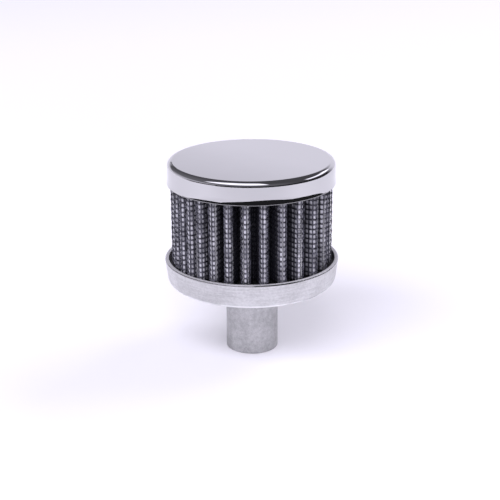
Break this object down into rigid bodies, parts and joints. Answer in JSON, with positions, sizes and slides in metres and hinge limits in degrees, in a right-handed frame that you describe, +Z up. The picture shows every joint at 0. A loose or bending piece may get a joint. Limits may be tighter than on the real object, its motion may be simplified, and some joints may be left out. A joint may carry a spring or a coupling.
{
  "type": "crankcase breather filter",
  "caption": "Small round breather filter: a pleated wire-screened gauze pack between a bright drawn cap and a satin base cup, with a plain vent tube below that pushes into a hose or grommet.",
  "frame": {"origin": "middle of the vent tube's lower end, which the filter stands on", "axes": "+Z up along the filter's axis, from the tube to the cap; the side that the picture shows faces -Y"},
  "size_m": [0.0528, 0.0528, 0.06],
  "materials": {
    "chrome_plate": "polished plate",
    "black_urethane": "satin cast",
    "coated_wire": "dark epoxy coat",
    "cotton": "oiled gauze",
    "satin_aluminium": "satin, spun",
    "matt_aluminium": "matt, as cast"
  },
  "bodies": {
    "root": {"top_cap": "chrome_plate", "upper_end_seal": "black_urethane", "outer_screen": "coated_wire", "cotton_gauze": "cotton", "inner_screen": "coated_wire", "lower_end_seal": "black_urethane", "base_cup": "satin_aluminium", "stub_tube": "matt_aluminium"}
  },
  "joints": []
}
